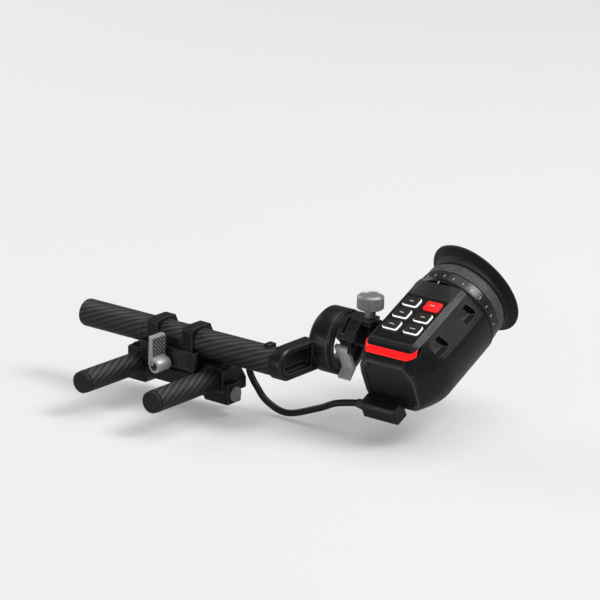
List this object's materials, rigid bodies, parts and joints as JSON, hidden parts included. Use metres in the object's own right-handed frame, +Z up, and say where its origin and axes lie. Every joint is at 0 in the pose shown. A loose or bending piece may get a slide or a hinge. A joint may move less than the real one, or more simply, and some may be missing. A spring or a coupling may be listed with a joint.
{
  "type": "electronic viewfinder on rod mount",
  "caption": "Electronic viewfinder with rubber eyecup and keypad, tilting on a swing arm carried by a carbon cross tube in a clamp over parallel carbon rods.",
  "frame": {"origin": "on the cross tube's axis, midway between the two rods", "axes": "+X along the cross tube towards the viewfinder, -Y towards the rods' free ends, +Z up"},
  "size_m": [0.2702, 0.199, 0.1137],
  "materials": {
    "black_anodised": "satin black anodised, slightly rubbed on the edges",
    "carbon": "clear-coated twill carbon fibre",
    "silver_metal": "bright satin turned metal",
    "steel": "dark oxide steel",
    "black_plastic": "fine-grained black plastic",
    "panel_plastic": "smooth black plastic",
    "key_plastic": "translucent grey-brown keycap, lit from below",
    "key_red": "red keycap, lit from below",
    "tally_red": "dark red lamp band",
    "rubber": "soft matt rubber",
    "cable_jacket": "smooth cable jacket",
    "glass": "coated optical glass",
    "circuit_board": "lacquered circuit board"
  },
  "bodies": {
    "clamp": {"clamp_base": "black_anodised", "rod_jaw_left": "black_anodised", "rod_jaw_right": "black_anodised", "jaw_screws": "black_anodised", "block_covers": "black_anodised", "front_plate": "black_anodised", "tube_saddle": "black_anodised", "saddle_cap": "black_anodised", "saddle_bolts": "steel", "cap_screws": "steel"},
    "left_rod": {"rod_left": "carbon", "rod_cap_left": "rubber"},
    "right_rod": {"rod_right": "carbon", "rod_cap_right": "rubber"},
    "lever": {"clamp_lever": "silver_metal", "lever_stud": "steel"},
    "tube": {"cross_tube": "carbon", "tube_end_cap": "rubber", "arm_stop": "black_anodised"},
    "arm": {"swing_arm": "black_anodised"},
    "viewfinder": {"tilt_hub": "black_anodised", "retaining_ring": "steel", "friction_washer": "steel", "tilt_stop_pin": "steel", "catch_pin": "steel", "tilt_bracket": "black_anodised", "viewfinder_foot": "black_plastic", "main_shell": "black_plastic", "front_cover": "black_plastic", "top_cover": "black_plastic", "button_panel": "panel_plastic", "tally_light": "tally_red", "switch_board": "circuit_board", "display_module": "glass", "display_frame": "black_plastic", "main_board": "circuit_board", "usb_socket": "steel", "eyepiece_tube": "black_anodised", "trim_ring": "black_anodised", "lens_barrel": "black_plastic", "field_lens": "glass", "shell_screws": "steel", "side_catches": "black_plastic", "cable_plug": "black_plastic", "strain_relief": "cable_jacket", "cable": "cable_jacket"},
    "catch": {"release_lever": "silver_metal"},
    "knob": {"lock_knob": "silver_metal", "knob_stud": "steel"},
    "focus": {"lens_carrier": "black_plastic", "eye_lens": "glass"},
    "diopter": {"diopter_ring": "black_anodised"},
    "eyecup_body": {"eyecup_mount": "black_plastic", "eyecup": "rubber"},
    "key_rear_left": {"button_rear_left": "key_plastic"},
    "key_rear_right": {"button_rear_right": "key_red"},
    "key_middle_left": {"button_middle_left": "key_plastic"},
    "key_middle_right": {"button_middle_right": "key_plastic"},
    "key_front_left": {"button_front_left": "key_plastic"},
    "key_front_right": {"button_front_right": "key_plastic"}
  },
  "joints": [
    {"name": "left_rod_slide", "type": "slide", "parent": "clamp", "child": "left_rod", "axis": [0, 1, 0], "range_m": [-0.006, 0.045]},
    {"name": "right_rod_slide", "type": "slide", "parent": "clamp", "child": "right_rod", "axis": [0, 1, 0], "range_m": [-0.006, 0.045]},
    {"name": "lever_turn", "type": "hinge", "parent": "clamp", "child": "lever", "pos_m": [0, -0.0205, -0.0143], "axis": [0, 1, 0], "range_deg": [-10, 95]},
    {"name": "tube_slide", "type": "slide", "parent": "clamp", "child": "tube", "axis": [1, 0, 0], "range_m": [-0.03, 0.05]},
    {"name": "arm_swing", "type": "hinge", "parent": "tube", "child": "arm", "pos_m": [0.086, 0, 0], "axis": [1, 0, 0], "range_deg": [0, 120]},
    {"name": "head_tilt", "type": "hinge", "parent": "arm", "child": "viewfinder", "pos_m": [0.0945, 0.046, 0.0065], "axis": [1, 0, 0], "range_deg": [-60, 70], "deforming": ["cable"]},
    {"name": "catch_turn", "type": "hinge", "parent": "viewfinder", "child": "catch", "pos_m": [0.1097, 0.0325, 0.0065], "axis": [1, 0, 0], "range_deg": [-40, 2]},
    {"name": "knob_turn", "type": "hinge", "parent": "viewfinder", "child": "knob", "pos_m": [0.119, 0.048, 0.036], "axis": [0, 0, 1], "continuous": true},
    {"name": "diopter_turn", "type": "hinge", "parent": "viewfinder", "child": "diopter", "pos_m": [0.153, 0.0912, 0.0248], "axis": [0, 0.9033, 0.4289], "range_deg": [-60, 60]},
    {"name": "focus_slide", "type": "slide", "parent": "viewfinder", "child": "focus", "axis": [0, 0.9033, 0.4289], "range_m": [-0.0022, 0.0022]},
    {"name": "eyecup_turn", "type": "hinge", "parent": "viewfinder", "child": "eyecup_body", "pos_m": [0.153, 0.0912, 0.0248], "axis": [0, 0.9033, 0.4289], "continuous": true},
    {"name": "press_rear_left", "type": "slide", "parent": "viewfinder", "child": "key_rear_left", "axis": [0, 0.4289, -0.9033], "range_m": [0, 0.001]},
    {"name": "press_rear_right", "type": "slide", "parent": "viewfinder", "child": "key_rear_right", "axis": [0, 0.4289, -0.9033], "range_m": [0, 0.001]},
    {"name": "press_middle_left", "type": "slide", "parent": "viewfinder", "child": "key_middle_left", "axis": [0, 0.4289, -0.9033], "range_m": [0, 0.001]},
    {"name": "press_middle_right", "type": "slide", "parent": "viewfinder", "child": "key_middle_right", "axis": [0, 0.4289, -0.9033], "range_m": [0, 0.001]},
    {"name": "press_front_left", "type": "slide", "parent": "viewfinder", "child": "key_front_left", "axis": [0, 0.4289, -0.9033], "range_m": [0, 0.001]},
    {"name": "press_front_right", "type": "slide", "parent": "viewfinder", "child": "key_front_right", "axis": [0, 0.4289, -0.9033], "range_m": [0, 0.001]}
  ],
  "couplings": [
    {"joint": "focus_slide", "follows": "diopter_turn", "m_per_rad": 0.002101}
  ]
}
